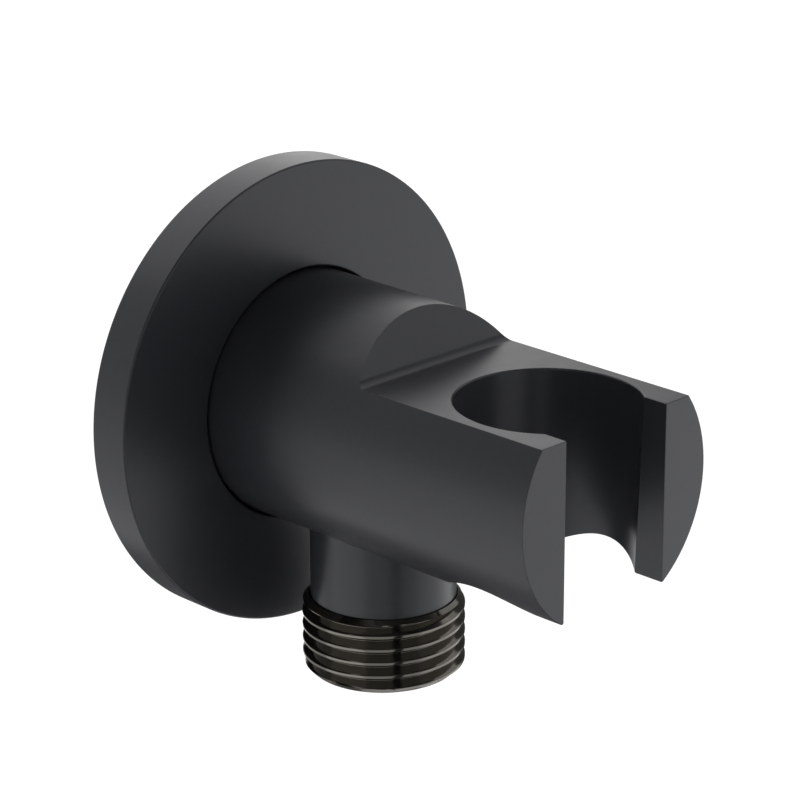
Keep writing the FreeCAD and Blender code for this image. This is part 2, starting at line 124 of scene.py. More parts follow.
class ElbowSizes(bpy.types.PropertyGroup):
    """Sizes of the forms that the finished surfaces add to the solids"""

    front_radius: length("Front radius", "Body radius at its front end", 16.15 * MM)
    shelf_height: length("Shelf height", "Height of the shelf over the body's axis", 9.64 * MM)
    step_setback: length("Step setback", "Distance from the wall to the foot of the step", 29.3 * MM)
    step_slant: angle("Step slant", "Lean of the step's face towards the wall", 24)
    step_fillet: length("Step fillet", "Hollow rounding at the foot of the step", 1.5 * MM)
    cradle_setback: length("Cradle setback", "Distance from the wall to the cradle bore's axis", 48.35 * MM)
    cradle_radius: length("Cradle radius", "Radius of the cradle bore at the shelf", 11.43 * MM)
    cradle_taper: angle("Cradle taper", "Taper of the cradle bore on each side", 0.54)
    cradle_lean: angle("Cradle lean", "Lean of the cradle bore towards the front", 1.27)
    slot_width: length("Slot width", "Width of the slot between the prongs", 17.44 * MM)
    collar_radius: length("Collar radius", "Radius of the collar over the hose nipple", 9.38 * MM)
    rosette_edge: length("Rosette edge", "Rounding of the rosette's outer edges", 0.25 * MM)
    rosette_gap: length("Rosette gap", "Gap between the rosette and the body", 0.35 * MM)
    rosette_face: length("Rosette face", "Thickness of the rosette's face", 2.2 * MM)
    rosette_hub: length("Rosette hub", "Wall of the hub round the body", 3.6 * MM)
    hub_recess: length("Hub recess", "Distance from the wall to the hub", 1.2 * MM)
    pitch: length("Pitch", "Pitch of the pipe threads", 1.814 * MM)
    crest: length("Crest", "Width of a thread's crest", 0.34 * MM)
    crest_edge: length("Crest edge", "Rounding along a thread's crest", 0.08 * MM)
    root: length("Root", "Width of a thread's root", 0.03 * MM)
    depth: length("Depth", "Depth of the pipe threads", 1.162 * MM)
    thread_chamfer: length("Thread chamfer", "Chamfer at a thread's end", 0.9 * MM)
    shoulder: length("Shoulder", "Radius of the hose nipple's shoulder under the collar", 9.55 * MM)
    collar_drop: length("Collar drop", "Distance from the body's axis down to the collar's end", 23.47 * MM)
    thread_turn: angle("Thread turn", "Where the hose thread's ridge starts, round the outlet", -97.9)
    nipple_spigot: length("Nipple spigot", "Radius of the hose nipple's spigot in the collar", 8.0 * MM)
    passage: length("Passage", "Radius of the water passage to the outlet", 5.2 * MM)
    cartridge_pocket: length("Cartridge pocket", "Radius of the bore round the cartridge", 6.38 * MM)
    cartridge_drop: length("Cartridge drop", "Distance from the body's axis down to the cartridge", 18.0 * MM)
    pipe_thread: length("Pipe thread", "Radius of the pipe threads over their crests", 10.4775 * MM)
    relief_width: length("Relief", "Plain neck between flange and thread", 1.6 * MM)
    flange_thickness: length("Flange", "Thickness of the wall nipple's flange", 3.2 * MM)
    spigot: length("Spigot", "Radius of the wall nipple's spigot", 9.5 * MM)
    waterway: length("Waterway", "Radius of the bore through the wall nipple", 5.6 * MM)
    ring_groove: length("Ring groove", "Radius at the bottom of the spigot's ring grooves", 7.95 * MM)
    ring_width: length("Ring width", "Width of the spigot's ring grooves", 2.2 * MM)
    front_ring: length("Front ring", "Distance from the wall to the front ring", 15.4 * MM)
    rear_ring: length("Rear ring", "Distance from the wall to the rear ring", 12.4 * MM)
    lock_groove: length("Lock groove", "Distance from the wall to the locking groove", 8.35 * MM)
    lock_width: length("Lock width", "Width of the locking groove", 4.4 * MM)
    lock_depth: length("Lock depth", "Radius at the bottom of the locking groove", 8.2 * MM)


class ElbowFinish(bpy.types.PropertyGroup):
    """Colours and surface qualities"""

    coating: colour("Coating", "Charcoal coating of body and rosette", (0.0150, 0.0160, 0.0185, 1))
    coating_roughness: share("Coating roughness", "Roughness of the charcoal coating", 0.32)
    coating_gloss: share("Coating gloss", "Specular level of the charcoal coating", 0.26)
    coating_sheen: colour("Coating sheen", "Tint of the coating's gloss", (0.955, 0.97, 1.0, 1))
    dark_chrome: colour("Dark chrome", "Black chrome of the hose nipple", (0.109, 0.103, 0.092, 1))
    chrome_rim: colour("Chrome rim", "Tint of the black chrome seen at a slant", (0.90, 0.89, 0.87, 1))
    brass: colour("Brass", "Bare turned brass of the wall nipple", (0.66, 0.48, 0.22, 1))
    rubber: colour("Rubber", "Rubber rings and seals", (0.012, 0.012, 0.013, 1))
    plastic: colour("Plastic", "Moulded plastic of the non-return cartridge", (0.72, 0.72, 0.69, 1))
    steel: colour("Steel", "Stainless steel of screw and spring", (0.55, 0.55, 0.56, 1))


def sizes():
    """The sizes that the sidebar holds."""
    return bpy.context.scene.elbow_sizes


def finish():
    """The colours and surface qualities that the sidebar holds."""
    return bpy.context.scene.elbow_finish


def rounded(corners, segments=ROUNDING_STEPS):
    """An outline's points, with an arc at each corner (radius, along, rounding) that has a rounding."""
    points = []
    count = len(corners)
    for k, (radius, along, rounding) in enumerate(corners):
        corner = Vector((radius, along))
        if not rounding:
            points.append(corner)
            continue
        before = (Vector(corners[k - 1][:2]) - corner).normalized()
        after = (Vector(corners[(k + 1) % count][:2]) - corner).normalized()
        half = before.angle(after) / 2
        centre = corner + (before + after).normalized() * rounding / math.sin(half)
        first = corner + before * rounding / math.tan(half) - centre
        sweep = first.angle_signed(corner + after * rounding / math.tan(half) - centre)
        for step in range(segments + 1):
            turn = Matrix.Rotation(-sweep * step / segments, 2)
            points.append(centre + turn @ first)
    return points


def lathe(bm, points, axis, centre, side, steps, rise=0.0):
    """Spins a closed outline of (radius, along) points once about an axis, with a rise at each step."""
    verts = [bm.verts.new(centre + side * radius + axis * along) for radius, along in points]
    edges = [bm.edges.new((verts[k - 1], verts[k])) for k in range(len(verts))]
    bmesh.ops.spin(bm, geom=verts + edges, cent=centre, axis=axis, dvec=axis * rise, angle=WHOLE_TURN,
                   steps=steps, use_merge=not rise)


def limit_radius(verts, axis, centre, limit):
    """Pulls points in to a largest radius that depends on where they are along and round the axis."""
    for vert in verts:
        along = (vert.co - centre).dot(axis)
        out = vert.co - centre - axis * along
        largest = limit(along, out)
        if out.length > largest:
            vert.co = centre + axis * along + out.normalized() * largest


def add_thread(bm, axis, centre, side, span, radius, limit):
    """A right-hand pipe thread's ridge between two places along the axis, cut back by the limit."""
    size = sizes()
    low, high = span
    root_half = (size.pitch - size.root) / 2
    crest_half = size.crest / 2
    sink = 0.06 * MM
    flank_steps = 5
    outline = [(radius - size.depth - sink, root_half, 0)]
    for k in range(flank_steps):
        outline.append((radius - size.depth * (1 - k / flank_steps),
                        root_half + (crest_half - root_half) * k / flank_steps, 0))
    outline.append((radius, crest_half, size.crest_edge))
    outline += [(across, -along, edge) for across, along, edge in reversed(outline)]
    start = low - size.pitch / 2
    points = [(across, start + along) for across, along in rounded(outline, NIPPLE_ROUNDING_STEPS)]
    ridge = bmesh.new()
    lathe(ridge, points, axis, centre, side, NIPPLE_STEPS, size.pitch / NIPPLE_STEPS)
    one_turn = ridge.verts[:] + ridge.edges[:] + ridge.faces[:]
    for turn in range(1, math.ceil((high - low) / size.pitch) + 1):
        copied = bmesh.ops.duplicate(ridge, geom=one_turn)["geom"]
        verts = [item for item in copied if isinstance(item, bmesh.types.BMVert)]
        bmesh.ops.translate(ridge, verts=verts, vec=axis * size.pitch * turn)
    bmesh.ops.remove_doubles(ridge, verts=ridge.verts, dist=RIDGE_WELD)
    bmesh.ops.edgeloop_fill(ridge, edges=[edge for edge in ridge.edges if edge.is_boundary])
    limit_radius(ridge.verts, axis, centre, limit)
    for end, facing in ((low, -axis), (high, axis)):
        cut = bmesh.ops.bisect_plane(ridge, geom=ridge.verts[:] + ridge.edges[:] + ridge.faces[:],
                                     plane_co=centre + axis * end, plane_no=facing, clear_outer=True)
        loop = [item for item in cut["geom_cut"] if isinstance(item, bmesh.types.BMEdge)]
        bmesh.ops.holes_fill(ridge, edges=loop, sides=0)
    mesh = bpy.data.meshes.new("thread")
    ridge.to_mesh(mesh)
    ridge.free()
    bm.from_mesh(mesh)
    bpy.data.meshes.remove(mesh)


def shade(bm, sharp=TURNED_CREASE):
    """Smooth shading with sharp creases where faces meet at more than the given angle."""
    bmesh.ops.recalc_face_normals(bm, faces=bm.faces)
    for face in bm.faces:
        face.smooth = True
    for edge in bm.edges:
        edge.smooth = edge.calc_face_angle(0) < sharp


def add_piece(name, bm, material):
    """Makes the mesh an object of the scene, with its material."""
    mesh = bpy.data.meshes.new(name)
    bm.to_mesh(mesh)
    bm.free()
    mesh.materials.append(material)
    piece = bpy.data.objects.new(name, mesh)
    bpy.context.scene.collection.objects.link(piece)
    return piece


def place(name, bm, material, node, body="root"):
    """Makes the mesh a piece that stands for a node, its material and fair normals."""
    piece = add_piece(name, bm, material)
    weighted = piece.modifiers.new("fair normals", "WEIGHTED_NORMAL")
    weighted.keep_sharp = True
    weighted.weight = LARGE_FACE_WEIGHT
    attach(piece, body)
    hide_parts(node)
    return piece


def merged(node):
    """A node's mesh with its loose triangles joined."""
    bm = bmesh.new()
    bm.from_mesh(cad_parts[node].data)
    bmesh.ops.remove_doubles(bm, verts=bm.verts, dist=SOLID_WELD)
    return bm


# Surfaces that the body's faces lie on: each gives a point's distance from it and its outward direction.

def flat(point, normal):
    """A plane through a point."""
    return lambda spot: ((spot - point).dot(normal), normal)


def round_wall(point, axis, radius, slope=0.0, hollow=False):
    """A cylinder, or a cone whose radius grows by the slope along its axis, faced inwards when hollow."""
    def measure(spot):
        along = (spot - point).dot(axis)
        out = spot - point - axis * along
        normal = (out.normalized() - axis * slope).normalized()
        return out.length - radius - slope * along, -normal if hollow else normal
    return measure


def coat_normals(mesh, surfaces, soft):
    """Gives each face the exact directions of the nearby surface whose direction is closest to its own.

    That keeps the edges crisp, apart from those of the soft surface, which are blended.
    """
    owners = []
    for vert in mesh.vertices:
        spot = vert.co
        owners.append([measure(spot)[1] for measure in surfaces if abs(measure(spot)[0]) < ON_SURFACE])
    around = [Vector() for _ in mesh.vertices]
    for polygon in mesh.polygons:
        for index in polygon.vertices:
            around[index] += polygon.normal * polygon.area
    normals = []
    for polygon in mesh.polygons:
        polygon.use_smooth = True
        facing = {}
        for measure in surfaces:
            distance, normal = measure(polygon.center)
            if abs(distance) < NEAR_SURFACE:
                facing[measure] = normal.angle(polygon.normal)
        best = min(facing, key=facing.get, default=None)
        crisp = best and facing[best] < (NEARLY_PARALLEL if soft in facing else SAME_SIDE)
        for index in polygon.vertices:
            fits = [normal for normal in owners[index] if normal.angle(polygon.normal) < SAME_SIDE]
            if crisp:
                normals.append(best(mesh.vertices[index].co)[1])
            elif fits:
                normals.append(min(fits, key=polygon.normal.angle))
            elif around[index].length and around[index].angle(polygon.normal) < SAME_SIDE:
                normals.append(around[index].normalized())
            else:
                normals.append(polygon.normal.copy())
    mesh.normals_split_custom_set(normals)


# Materials. Patterns read Object coordinates, which are the row's own metres. Noise lies nearly all between
# the two values below, and that range is stretched to what a material asks for. Lines are noise drawn out
# round an axis.
NOISE_LOW = 0.3
NOISE_HIGH = 0.7
METAL = 0.95
LINES_ROUND_Z = (0.2, 0.2, 1)
LINES_ROUND_Y = (0.2, 1, 0.2)
NO_LINES = (1, 1, 1)


def new_material(name, base_colour, metallic, roughness):
    """A Principled material with its node tree, its shader and the socket of its Object coordinates."""
    material = bpy.data.materials.new(name)
    material.use_nodes = True
    tree = material.node_tree
    shader = tree.nodes["Principled BSDF"]
    shader.inputs["Base Color"].default_value = base_colour
    shader.inputs["Metallic"].default_value = metallic
    shader.inputs["Roughness"].default_value = roughness
    coordinates = tree.nodes.new("ShaderNodeTexCoord")
    return material, tree, shader, coordinates.outputs["Object"]


def noise(tree, where, grain, detail=2.0, stretch=NO_LINES):
    """A noise pattern whose grain is a size in metres, drawn out along the axes with a small stretch."""
    mapping = tree.nodes.new("ShaderNodeMapping")
    mapping.inputs["Scale"].default_value = Vector(stretch) / grain
    tree.links.new(where, mapping.inputs["Vector"])
    pattern = tree.nodes.new("ShaderNodeTexNoise")
    pattern.inputs["Scale"].default_value = 1.0
    pattern.inputs["Detail"].default_value = detail
    tree.links.new(mapping.outputs["Vector"], pattern.inputs["Vector"])
    return pattern.outputs["Fac"]


def spread(tree, pattern, low, high):
    """The pattern's middle range stretched between two values."""
    ramp = tree.nodes.new("ShaderNodeMapRange")
    ramp.inputs["From Min"].default_value = NOISE_LOW
    ramp.inputs["From Max"].default_value = NOISE_HIGH
    ramp.inputs["To Min"].default_value = low
    ramp.inputs["To Max"].default_value = high
    tree.links.new(pattern, ramp.inputs["Value"])
    return ramp.outputs["Result"]


def vary_colour(tree, shader, pattern, colour_value, amount):
    """Lets the base colour drift a little lighter and darker with the pattern."""
    mix = tree.nodes.new("ShaderNodeMix")
    mix.data_type = "RGBA"
    tree.links.new(spread(tree, pattern, 0.0, 1.0), mix.inputs["Factor"])
    low = [channel * (1 - amount) for channel in colour_value[:3]] + [1]
    high = [min(1, channel * (1 + amount)) for channel in colour_value[:3]] + [1]
    mix.inputs["A"].default_value = low
    mix.inputs["B"].default_value = high
    tree.links.new(mix.outputs["Result"], shader.inputs["Base Color"])


def emboss(tree, shader, pattern, height):
    """A fine relief of a given height in metres."""
    bump = tree.nodes.new("ShaderNodeBump")
    bump.inputs["Strength"].default_value = 1.0
    bump.inputs["Distance"].default_value = height
    tree.links.new(pattern, bump.inputs["Height"])
    tree.links.new(bump.outputs["Normal"], shader.inputs["Normal"])


def coating_material():
    """Charcoal coating: fine satin grain, slightly uneven in tone and gloss."""
    tone_grain, tone_change = 0.9 * MM, 0.05
    gloss_grain, gloss_change = 2.5 * MM, 0.015
    relief_grain, relief_height = 0.12 * MM, 0.0006 * MM
    shades = finish()
    rough = shades.coating_roughness
    material, tree, shader, where = new_material("charcoal coating", shades.coating, 0.0, rough)
    tone = noise(tree, where, tone_grain, detail=3.0)
    vary_colour(tree, shader, tone, shades.coating, tone_change)
    gloss = noise(tree, where, gloss_grain)
    shader.inputs["Specular IOR Level"].default_value = shades.coating_gloss
    shader.inputs["Specular Tint"].default_value = shades.coating_sheen
    uneven = spread(tree, gloss, rough - gloss_change, rough + gloss_change)
    tree.links.new(uneven, shader.inputs["Roughness"])
    emboss(tree, shader, noise(tree, where, relief_grain), relief_height)
    return material


def metal_material(name, shade_value, roughness, stretch, rim_tint=(1, 1, 1, 1)):
    """Turned metal with fine lathe lines round its axis, and a tint where it is seen at a slant."""
    line_grain, line_height = 0.25 * MM, 0.0005 * MM
    smoothest, roughest = roughness * 0.85, roughness * 1.2
    tone_grain, tone_change = 1.5 * MM, 0.03
    material, tree, shader, where = new_material(name, shade_value, METAL, roughness)
    shader.inputs["Specular Tint"].default_value = rim_tint
    lines = noise(tree, where, line_grain, stretch=stretch)
    uneven = spread(tree, lines, smoothest, roughest)
    tree.links.new(uneven, shader.inputs["Roughness"])
    vary_colour(tree, shader, noise(tree, where, tone_grain), shade_value, tone_change)
    emboss(tree, shader, lines, line_height)
    return material


def dull_material(name, shade_value, roughness, grain):
    """Rubber, foam or plastic with a fine moulded grain."""
    tone_change, gloss_change = 0.08, 0.06
    relief_height = grain * 0.02
    material, tree, shader, where = new_material(name, shade_value, 0.0, roughness)
    pattern = noise(tree, where, grain, detail=3.0)
    vary_colour(tree, shader, pattern, shade_value, tone_change)
    uneven = spread(tree, pattern, roughness - gloss_change, roughness + gloss_change)
    tree.links.new(uneven, shader.inputs["Roughness"])
    emboss(tree, shader, pattern, relief_height)
    return material


def shared_material(name):
    """Each material is made once and then shared."""
    shades = finish()
    makers = {
        "charcoal coating": coating_material,
        "black chrome": lambda: metal_material(name, shades.dark_chrome, roughness=0.11,
                                               stretch=LINES_ROUND_Z, rim_tint=shades.chrome_rim),
        "turned brass": lambda: metal_material(name, shades.brass, roughness=0.24, stretch=LINES_ROUND_Y),
        "stainless steel": lambda: metal_material(name, shades.steel, roughness=0.28, stretch=NO_LINES),
        "black rubber": lambda: dull_material(name, shades.rubber, roughness=0.6, grain=0.2 * MM),
        "foam ring": lambda: dull_material(name, shades.rubber, roughness=0.85, grain=0.35 * MM),
        "white plastic": lambda: dull_material(name, shades.plastic, roughness=0.45, grain=0.3 * MM),
    }
    return bpy.data.materials.get(name) or makers[name]()


def holder_surfaces(size):
    """The true surfaces of the holder body that are in view, with the cradle bore first."""
    slope = (size.front_radius - body_high.x) / (-body_low.y + rosette_low.y)
    foot = Vector((0, -size.step_setback, size.shelf_height))
    slanted = Vector((0, -math.cos(size.step_slant), math.sin(size.step_slant)))
    run = size.step_fillet / math.tan((math.pi / 2 + size.step_slant) / 2)
    hollow_centre = foot + Vector((0, -run, size.step_fillet))
    lean = Vector((0, -math.sin(size.cradle_lean), math.cos(size.cradle_lean)))
    cradle = Vector((0, -size.cradle_setback, size.shelf_height))
    half_slot = size.slot_width / 2
    bore = round_wall(cradle, lean, size.cradle_radius, math.tan(size.cradle_taper), hollow=True)
    return [
        bore,
        round_wall(Vector((0, rosette_low.y, 0)), OUTWARD, body_high.x, slope),
        round_wall(Vector(), OUTWARD, body_high.x),
        round_wall(outlet_axis, UP, size.collar_radius),
        round_wall(hollow_centre, SIDEWAYS, size.step_fillet, hollow=True),
        flat(foot, slanted),
        flat(foot, UP),
        flat(body_low, OUTWARD),
        flat(SIDEWAYS * half_slot, -SIDEWAYS),
        flat(-SIDEWAYS * half_slot, SIDEWAYS),
        flat(Vector((0, 0, body_low.z)), -UP),
        flat(Vector((0, body_high.y, 0)), -OUTWARD),
    ]


def dress(node, material, body, sharp=SOLID_CREASE):
    """A smoothly shaded piece of a node's own shape."""
    bm = merged(node)
    shade(bm, sharp)
    return place(node + "_finished", bm, shared_material(material), node, body)


# Camera, fitted to the photograph's 800 by 800 frame.
CAMERA_AZIMUTH = -44.865
CAMERA_ELEVATION = 19.823
CAMERA_ROLL = -0.216
CAMERA_DISTANCE = 385.43 * MM
CAMERA_TARGET = Vector((0, -30, -5)) * MM
CAMERA_SIDE_STEP = -4.771 * MM
CAMERA_LIFT = 9.405 * MM
FOCAL_PIXELS = 3100.65
FRAME_PIXELS = 800
SENSOR = 36.0
NEAREST_SEEN = 0.01

# The studio is plain white all round. Softboxes add light to it, dark and grey cards take some away, and
# the camera sees neither. Each has a name, its azimuth and elevation as the object sees it, and half the
# angles that it fills sideways and upwards, all in degrees. A softbox ends with its brightness over the
# white, and a card with its grey.
SOFTBOX_DISTANCE = 0.5
CARD_DISTANCE = 0.55
SOFTBOXES = [
    ("low right softbox", 47, -20, 34, 40, 0.77),
    ("rear right softbox", 164, 36, 35, 31, 0.79),
    ("low left softbox", -101, -25, 27, 26, 0.96),
    ("high right softbox", 94, 50, 10, 10, 0.35),
    ("right strip", 72, -18, 20, 6, 0.9),
]
CARDS = [
    ("high left card", -98, 42, 22, 22, 0),
    ("narrow front card", -23.5, -18, 5.5, 45, 0),
    ("table card", 0, -90, 14, 14, 0),
    ("top card", -15, 59, 22, 21, 0),
    ("low rear card", 154, -47, 21, 17, 0.15),
    ("high seam card", -79, 68, 13, 8, 0.2),
    ("right card", 50, 37, 6.5, 6.5, 0),
    ("far right card", 107, -6, 17, 38, 0.13),
]
FLOOR_DROP = 0.60
FLOOR_RADIUS = 4.0
FLOOR_STEPS = 64
FLOOR_PALE = 0.8
FLOOR_GLOW = 0.3


def direction(azimuth, elevation):
    """The unit vector towards a place seen at an azimuth from the front and an elevation."""
    turn, tilt = math.radians(azimuth), math.radians(elevation)
    return Vector((math.sin(turn) * math.cos(tilt), -math.cos(turn) * math.cos(tilt), math.sin(tilt)))


def add_camera(context):
    """The camera with the photograph's place, turn and focal length."""
    back = direction(CAMERA_AZIMUTH, CAMERA_ELEVATION)
    turn = math.radians(CAMERA_AZIMUTH)
    right = Vector((math.cos(turn), math.sin(turn), 0))
    up = back.cross(right)
    roll = math.radians(CAMERA_ROLL)
    right, up = right * math.cos(roll) + up * math.sin(roll), up * math.cos(roll) - right * math.sin(roll)
    spot = CAMERA_TARGET + right * CAMERA_SIDE_STEP + up * CAMERA_LIFT + back * CAMERA_DISTANCE
    camera = bpy.data.objects.new("camera", bpy.data.cameras.new("camera"))
    camera.data.sensor_width = SENSOR
    camera.data.lens = FOCAL_PIXELS / FRAME_PIXELS * SENSOR
    camera.data.clip_start = NEAREST_SEEN
    turned = Matrix((right, up, back)).transposed()
    camera.matrix_world = Matrix.Translation(spot) @ turned.to_4x4()
    context.scene.collection.objects.link(camera)
    context.scene.camera = camera


def studio_place(azimuth, elevation, distance):
    """The transform of a panel that stands in the studio and faces the object with its -Z side."""
    way = direction(azimuth, elevation)
    return Matrix.Translation(way * distance) @ way.to_track_quat("Z", "Y").to_matrix().to_4x4()


def half_size(half_angle, distance):
    """Half the width of a panel at a distance that fills twice the angle."""
    return distance * math.tan(math.radians(half_angle))


def add_stage(name, bm, material):
    """A mesh for the floor or a card, made an object of the scene with its material."""
    piece = add_piece(name, bm, material)
    return piece


def add_floor():
    """A wide round floor under the object."""
    bm = bmesh.new()
    bmesh.ops.create_circle(bm, cap_ends=True, radius=FLOOR_RADIUS, segments=FLOOR_STEPS)
    bmesh.ops.translate(bm, verts=bm.verts, vec=(0, 0, -FLOOR_DROP))
    add_stage("floor", bm, floor_material())


def add_card(name, azimuth, elevation, half_across, half_up, grey):
    """A dark or grey card that faces the object."""
    bm = bmesh.new()
    bmesh.ops.create_grid(bm, x_segments=1, y_segments=1, size=1.0)
    across, up = half_size(half_across, CARD_DISTANCE), half_size(half_up, CARD_DISTANCE)
    bmesh.ops.scale(bm, vec=(across, up, 1), verts=bm.verts)
    bmesh.ops.transform(bm, matrix=studio_place(azimuth, elevation, CARD_DISTANCE), verts=bm.verts)
    add_stage(name, bm, card_material(grey)).visible_camera = False


def floor_material():
    """Pale floor that looks white to the camera, in gloss and through glass, and keeps its shadow."""
    material = bpy.data.materials.new("pale floor")
    material.use_nodes = True
    tree = material.node_tree
    shader = tree.nodes["Principled BSDF"]
    shader.inputs["Base Color"].default_value = (FLOOR_PALE, FLOOR_PALE, FLOOR_PALE, 1)
    shader.inputs["Roughness"].default_value = 1.0
    shader.inputs["Specular IOR Level"].default_value = 0.0
    shader.inputs["Emission Color"].default_value = (1, 1, 1, 1)
    path = tree.nodes.new("ShaderNodeLightPath")
    seen = path.outputs["Is Camera Ray"]
    for ray in ("Is Glossy Ray", "Is Transmission Ray"):
        either = tree.nodes.new("ShaderNodeMath")
        either.operation = "MAXIMUM"
        tree.links.new(seen, either.inputs[0])
        tree.links.new(path.outputs[ray], either.inputs[1])
        seen = either.outputs["Value"]
    glow = tree.nodes.new("ShaderNodeMath")
    glow.operation = "MULTIPLY"
    glow.inputs[1].default_value = FLOOR_GLOW
    tree.links.new(seen, glow.inputs[0])
    tree.links.new(glow.outputs["Value"], shader.inputs["Emission Strength"])
    return material


def card_material(grey):
    """Dull black or grey card."""
    material = bpy.data.materials.new("dull card")
    material.use_nodes = True
    shader = material.node_tree.nodes["Principled BSDF"]
    shader.inputs["Base Color"].default_value = (grey, grey, grey, 1)
    shader.inputs["Specular IOR Level"].default_value = 0.0
    return material


def add_world(context):
    """White surroundings."""
    world = bpy.data.worlds.new("studio")
    context.scene.world = world
    world.use_nodes = True
    white = world.node_tree.nodes["Background"]
    white.inputs["Color"].default_value = (1, 1, 1, 1)
    white.inputs["Strength"].default_value = 1.0


def add_softbox(context, name, azimuth, elevation, half_across, half_up, brightness):
    """A lamp whose face is as bright as the white surroundings times its brightness."""
    lamp = bpy.data.lights.new(name, "AREA")
    lamp.shape = "RECTANGLE"
    lamp.size = 2 * half_size(half_across, SOFTBOX_DISTANCE)
    lamp.size_y = 2 * half_size(half_up, SOFTBOX_DISTANCE)
    lamp.energy = brightness * math.pi * lamp.size * lamp.size_y
    softbox = bpy.data.objects.new(name, lamp)
    softbox.matrix_world = studio_place(azimuth, elevation, SOFTBOX_DISTANCE)
    softbox.visible_camera = False
    context.scene.collection.objects.link(softbox)


class ELBOW_OT_holder(bpy.types.Operator):
    """Body with fork, collar and cradle bore, its faces shaded to their true surfaces"""

    bl_idname = "elbow.holder"
    bl_label = "Holder body"

    def execute(self, context):
        piece = add_piece("holder_body_coated", merged("holder_body"), shared_material("charcoal coating"))
        surfaces = holder_surfaces(sizes())
        cradle_bore = surfaces[0]
        coat_normals(piece.data, surfaces, cradle_bore)
        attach(piece, "root")
        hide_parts("holder_body")
        return {"FINISHED"}


class ELBOW_OT_rosette(bpy.types.Operator):
    """Rosette turned as a shell with a rim and a hub"""

    bl_idname = "elbow.rosette"
    bl_label = "Rosette"

    def execute(self, context):
        size = sizes()
        hole = body_high.x + size.rosette_gap
        rim = seal_high.x
        front = -rosette_low.y
        inside = front - size.rosette_face
        edge = size.rosette_edge
        corners = [
            (rosette_high.x, 0, edge), (rosette_high.x, front, edge), (hole, front, edge),
            (hole, size.hub_recess, edge), (hole + size.rosette_hub, size.hub_recess, edge),
            (hole + size.rosette_hub, inside, 2 * edge), (rim, inside, 2 * edge), (rim, 0, edge),
        ]
        bm = bmesh.new()
        lathe(bm, rounded(corners), OUTWARD, Vector(), UP, ROSETTE_STEPS)
        shade(bm)
        place("rosette_coated", bm, shared_material("charcoal coating"), "rosette")
        return {"FINISHED"}


class ELBOW_OT_hose_nipple(bpy.types.Operator):
    """Black chrome hose nipple with its pipe thread, screwed into the collar"""

    bl_idname = "elbow.hose_nipple"
    bl_label = "Hose nipple"

    def execute(self, context):
        size = sizes()
        centre = Vector((outlet_axis.x, outlet_axis.y, 0))
        crest = (hose_high.x - hose_low.x) / 2
        root = crest - size.depth
        top, shoulder, bottom = hose_high.z, -size.collar_drop, hose_low.z
        spigot, passage = size.nipple_spigot, size.passage
        pocket, ledge = size.cartridge_pocket, -size.cartridge_drop
        edge = 0.12 * MM
        lead = crest - size.thread_chamfer
        proud = 0.01 * MM
        neck = size.shoulder + proud
        run_out = 0.5 * MM
        corners = [
            (passage, top, edge), (spigot, top, 3 * edge), (spigot, shoulder, 0), (neck, shoulder, 0),
            (neck + run_out, shoulder - run_out, 0), (root, shoulder - run_out - edge / 2, 0),
            (root, bottom + 3 * edge, 0), (lead, bottom + 3 * edge, edge), (lead, bottom, edge),
            (pocket + 2 * edge, bottom, 0), (pocket, bottom + 2 * edge, 0), (pocket, ledge, 0),
            (passage, ledge, 0),
        ]
        bm = bmesh.new()
        lathe(bm, rounded(corners, NIPPLE_ROUNDING_STEPS), UP, centre, SIDEWAYS, NIPPLE_STEPS)

        def limit(along, out):
            return min(crest, size.shoulder + shoulder - along, lead + along - bottom)

        side = Vector((math.cos(size.thread_turn), math.sin(size.thread_turn), 0))
        add_thread(bm, UP, centre, side, (bottom, shoulder), crest, limit)
        shade(bm)
        place("hose_nipple", bm, shared_material("black chrome"), "outlet_nipple")
        return {"FINISHED"}


class ELBOW_OT_wall_nipple(bpy.types.Operator):
    """Brass wall nipple: pipe thread, hexagon flange and spigot"""

    bl_idname = "elbow.wall_nipple"
    bl_label = "Wall nipple"

    def execute(self, context):
        size = sizes()
        inward = -OUTWARD
        crest = size.pipe_thread
        root = crest - size.depth
        end, tip = wall_high.y, wall_low.y
        start = size.relief_width
        flange = size.flange_thickness
        across = (wall_high.z - wall_low.z) / 2
        corner = across / math.cos(SIXTH_TURN / 2)
        edge = 0.2 * MM
        groove = size.ring_groove
        spigot, waterway = size.spigot, size.waterway
        corners = [(waterway, tip, edge), (spigot, tip, 2 * edge)]
        for setback, width, depth in ((size.front_ring, size.ring_width, groove),
                                      (size.rear_ring, size.ring_width, groove),
                                      (size.lock_groove, size.lock_width, size.lock_depth)):
            corners += [(spigot, -setback - width / 2, edge / 2), (depth, -setback - width / 2, edge / 2),
                        (depth, -setback + width / 2, edge / 2), (spigot, -setback + width / 2, edge / 2)]
        corners += [(spigot, -flange, 0), (across - edge, -flange, 0), (across - edge, 0, 0),
                    (root, 0, edge), (root, end, 0), (waterway, end, edge)]
        bm = bmesh.new()
        lathe(bm, rounded(corners, NIPPLE_ROUNDING_STEPS), inward, Vector(), UP, NIPPLE_STEPS)
        core = set(bm.verts)
        hexagon = [(across - 4 * edge, -flange), (corner - 3 * edge, -flange), (corner, -flange + 2 * edge),
                   (corner, -2 * edge), (corner - 3 * edge, 0), (across - 4 * edge, 0)]
        lathe(bm, hexagon, inward, Vector(), UP, FLANGE_STEPS)

        # Known fault: these corners point up and down, those of the solid's hexagon point sideways.
        def hexagonal(along, out):
            return across / math.cos(math.atan2(out.x, out.z) % SIXTH_TURN - SIXTH_TURN / 2)

        limit_radius([vert for vert in bm.verts if vert not in core], inward, Vector(), hexagonal)

        def limit(along, out):
            return min(crest, crest - size.thread_chamfer + end - along, root + along - start)

        add_thread(bm, inward, Vector(), UP, (start, end), crest, limit)
        shade(bm)
        place("wall_nipple_brass", bm, shared_material("turned brass"), "wall_nipple")
        return {"FINISHED"}


